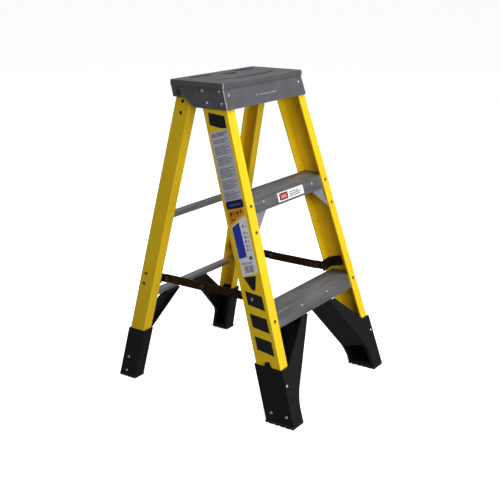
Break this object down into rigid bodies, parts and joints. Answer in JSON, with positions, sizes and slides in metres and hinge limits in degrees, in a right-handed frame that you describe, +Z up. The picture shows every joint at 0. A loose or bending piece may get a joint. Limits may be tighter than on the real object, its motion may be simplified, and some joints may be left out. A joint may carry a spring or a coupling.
{
  "type": "platform step ladder",
  "caption": "Small folding platform step ladder with splayed fibreglass rails, a moulded top cap, aluminium steps, knee braces, folding spreaders and strutted black boots.",
  "frame": {"origin": "middle of the footprint, on the floor", "axes": "+Z up the ladder; -Y is the front, where the steps face; +X is to the right of a person who climbs"},
  "size_m": [0.5096, 0.6054, 0.87],
  "materials": {
    "cap_plastic": "fine matte texture",
    "fibreglass": "smooth moulded fibreglass, semi-gloss",
    "step_aluminium": "brushed along the tread",
    "brace_steel": "zinc plated",
    "boot_plastic": "fine matte texture",
    "pad_rubber": "matte",
    "spreader_steel": "dark bronze finish",
    "rivet_aluminium": "bright"
  },
  "bodies": {
    "front_frame": {"top_cap": "cap_plastic", "step_lower": "step_aluminium", "step_upper": "step_aluminium", "front_rail_left": "fibreglass", "knee_brace_left": "brace_steel", "front_boot_left": "boot_plastic", "front_pad_left": "pad_rubber", "front_strap_left": "spreader_steel", "front_pivot_left": "rivet_aluminium", "hinge_pin_left": "rivet_aluminium", "hinge_washer_left": "rivet_aluminium", "cap_rivet_1_left": "rivet_aluminium", "cap_rivet_2_left": "rivet_aluminium", "cap_rivet_3_left": "rivet_aluminium", "cap_rivet_4_left": "rivet_aluminium", "cap_front_rivet_left": "rivet_aluminium", "brace_top_rivet_left": "rivet_aluminium", "brace_foot_rivet_left": "rivet_aluminium", "step_rivet_left": "rivet_aluminium", "brace_apron_rivet_left": "rivet_aluminium", "front_rail_right": "fibreglass", "knee_brace_right": "brace_steel", "front_boot_right": "boot_plastic", "front_pad_right": "pad_rubber", "front_strap_right": "spreader_steel", "front_pivot_right": "rivet_aluminium", "hinge_pin_right": "rivet_aluminium", "hinge_washer_right": "rivet_aluminium", "cap_rivet_1_right": "rivet_aluminium", "cap_rivet_2_right": "rivet_aluminium", "cap_rivet_3_right": "rivet_aluminium", "cap_rivet_4_right": "rivet_aluminium", "cap_front_rivet_right": "rivet_aluminium", "brace_top_rivet_right": "rivet_aluminium", "brace_foot_rivet_right": "rivet_aluminium", "step_rivet_right": "rivet_aluminium", "brace_apron_rivet_right": "rivet_aluminium"},
    "rear_frame": {"rear_bar_lower": "step_aluminium", "rear_bar_upper": "step_aluminium", "rear_rail_left": "fibreglass", "rear_boot_left": "boot_plastic", "rear_pad_left": "pad_rubber", "rear_strap_left": "spreader_steel", "rear_pivot_left": "rivet_aluminium", "rear_rail_right": "fibreglass", "rear_boot_right": "boot_plastic", "rear_pad_right": "pad_rubber", "rear_strap_right": "spreader_steel", "rear_pivot_right": "rivet_aluminium"},
    "front_bar_left": {"spreader_front_left": "spreader_steel", "middle_pivot_front_left": "rivet_aluminium"},
    "rear_bar_left": {"spreader_rear_left": "spreader_steel", "middle_pivot_rear_left": "rivet_aluminium"},
    "front_bar_right": {"spreader_front_right": "spreader_steel", "middle_pivot_front_right": "rivet_aluminium"},
    "rear_bar_right": {"spreader_rear_right": "spreader_steel", "middle_pivot_rear_right": "rivet_aluminium"}
  },
  "joints": [
    {"name": "rear_fold", "type": "hinge", "parent": "front_frame", "child": "rear_frame", "pos_m": [0, 0.10205, 0.839], "axis": [-1, 0, 0], "range_deg": [0, 26]},
    {"name": "front_bar_fold_left", "type": "hinge", "parent": "front_frame", "child": "front_bar_left", "pos_m": [-0.1765, -0.11301, 0.304], "axis": [1, 0, 0], "range_deg": [0, 61.5]},
    {"name": "rear_bar_fold_left", "type": "hinge", "parent": "rear_frame", "child": "rear_bar_left", "pos_m": [-0.1765, 0.17446, 0.304], "axis": [-1, 0, 0], "range_deg": [0, 78.89]},
    {"name": "front_bar_fold_right", "type": "hinge", "parent": "front_frame", "child": "front_bar_right", "pos_m": [0.1765, -0.11301, 0.304], "axis": [1, 0, 0], "range_deg": [0, 61.5]},
    {"name": "rear_bar_fold_right", "type": "hinge", "parent": "rear_frame", "child": "rear_bar_right", "pos_m": [0.1765, 0.17446, 0.304], "axis": [-1, 0, 0], "range_deg": [0, 78.89]}
  ],
  "couplings": [
    {"joint": "front_bar_fold_left", "follows": "rear_fold", "ratio": 2.365},
    {"joint": "rear_bar_fold_left", "follows": "rear_fold", "ratio": 3.034},
    {"joint": "front_bar_fold_right", "follows": "rear_fold", "ratio": 2.365},
    {"joint": "rear_bar_fold_right", "follows": "rear_fold", "ratio": 3.034}
  ]
}
